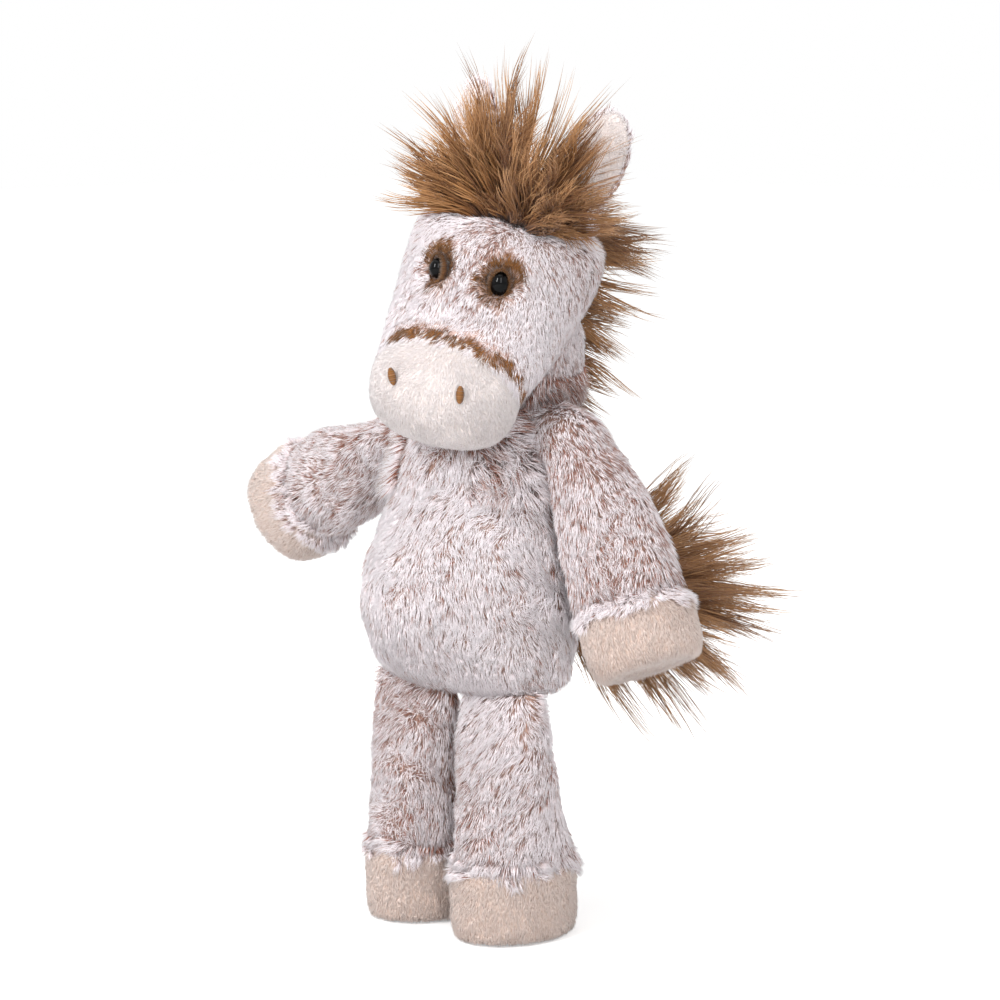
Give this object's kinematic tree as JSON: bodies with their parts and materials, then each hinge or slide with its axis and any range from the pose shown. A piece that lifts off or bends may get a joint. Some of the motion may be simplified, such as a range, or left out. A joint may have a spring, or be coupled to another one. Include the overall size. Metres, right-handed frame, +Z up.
{
  "type": "plush horse",
  "caption": "Soft plush horse that stands upright on its hind legs, with jointed head, arms, legs, ears and tail.",
  "frame": {"origin": "on the surface it stands on, under the middle of its bounding box", "axes": "+Z up through the standing horse, -Y the way its chest faces, +X towards its own left"},
  "size_m": [0.2304, 0.1924, 0.3271],
  "materials": {
    "frosted_plush": "long soft pile, brown at the root and pinkish white at the tip",
    "cream_plush": "short cream-white pile",
    "beige_plush": "short beige pile",
    "brown_long_pile": "long wavy golden-brown pile",
    "gloss_black_plastic": "polished",
    "washer_plastic": "matt",
    "embroidery_thread": "satin stitch",
    "fibre_filling": "loose polyester fibre"
  },
  "bodies": {
    "torso_body": {"torso_skin": "frosted_plush", "torso_filling": "fibre_filling"},
    "head_body": {"head_skin": "frosted_plush", "muzzle_skin": "cream_plush", "head_filling": "fibre_filling", "left_eye": "gloss_black_plastic", "right_eye": "gloss_black_plastic", "left_eye_washer": "washer_plastic", "right_eye_washer": "washer_plastic", "left_nostril_stitching": "embroidery_thread", "right_nostril_stitching": "embroidery_thread", "forelock": "brown_long_pile", "neck_mane": "brown_long_pile"},
    "left_ear_body": {"left_ear_back": "frosted_plush", "left_ear_lining": "cream_plush"},
    "right_ear_body": {"right_ear_back": "frosted_plush", "right_ear_lining": "cream_plush"},
    "left_arm_body": {"left_arm_sleeve": "frosted_plush", "left_arm_hoof_wall": "beige_plush", "left_arm_hoof_sole": "beige_plush", "left_arm_filling": "fibre_filling"},
    "right_arm_body": {"right_arm_sleeve": "frosted_plush", "right_arm_hoof_wall": "beige_plush", "right_arm_hoof_sole": "beige_plush", "right_arm_filling": "fibre_filling"},
    "left_leg_body": {"left_leg_sleeve": "frosted_plush", "left_leg_hoof_wall": "beige_plush", "left_leg_hoof_sole": "beige_plush", "left_leg_filling": "fibre_filling"},
    "right_leg_body": {"right_leg_sleeve": "frosted_plush", "right_leg_hoof_wall": "beige_plush", "right_leg_hoof_sole": "beige_plush", "right_leg_filling": "fibre_filling"},
    "tail_body": {"tail": "brown_long_pile"}
  },
  "joints": [
    {"name": "head_nod", "type": "hinge", "parent": "torso_body", "child": "head_body", "pos_m": [0.01522, -0.03375, 0.1683], "axis": [1, 0, 0], "range_deg": [-12, 20], "stiffness_Nm_per_rad": 0.6},
    {"name": "left_ear_fold", "type": "hinge", "parent": "head_body", "child": "left_ear_body", "pos_m": [0.04634, -0.0225, 0.26613], "axis": [0.5611, 0.7387, -0.3736], "range_deg": [-38, 14], "stiffness_Nm_per_rad": 0.02},
    {"name": "right_ear_fold", "type": "hinge", "parent": "head_body", "child": "right_ear_body", "pos_m": [0.00925, -0.03775, 0.27468], "axis": [0.995, -0.099, 0.015], "range_deg": [-38, 14], "stiffness_Nm_per_rad": 0.02},
    {"name": "left_arm_spread", "type": "hinge", "parent": "torso_body", "child": "left_arm_body", "pos_m": [0.05772, -0.02775, 0.1873], "axis": [0, 0.9992, -0.04], "range_deg": [-78, 0], "stiffness_Nm_per_rad": 0.3},
    {"name": "right_arm_spread", "type": "hinge", "parent": "torso_body", "child": "right_arm_body", "pos_m": [-0.02728, -0.02775, 0.1873], "axis": [0, 0.9976, -0.0699], "range_deg": [-35, 42], "stiffness_Nm_per_rad": 0.3},
    {"name": "left_leg_swing", "type": "hinge", "parent": "torso_body", "child": "left_leg_body", "pos_m": [0.03822, -0.04975, 0.089], "axis": [1, 0, 0], "range_deg": [-66, 40], "stiffness_Nm_per_rad": 1.5},
    {"name": "right_leg_swing", "type": "hinge", "parent": "torso_body", "child": "right_leg_body", "pos_m": [-0.00778, -0.04975, 0.089], "axis": [1, 0, 0], "range_deg": [-66, 40], "stiffness_Nm_per_rad": 1.5},
    {"name": "tail_wag", "type": "hinge", "parent": "torso_body", "child": "tail_body", "pos_m": [0.01522, 0.00101, 0.127], "axis": [0, 0, 1], "range_deg": [-8, 62], "stiffness_Nm_per_rad": 0.05}
  ]
}
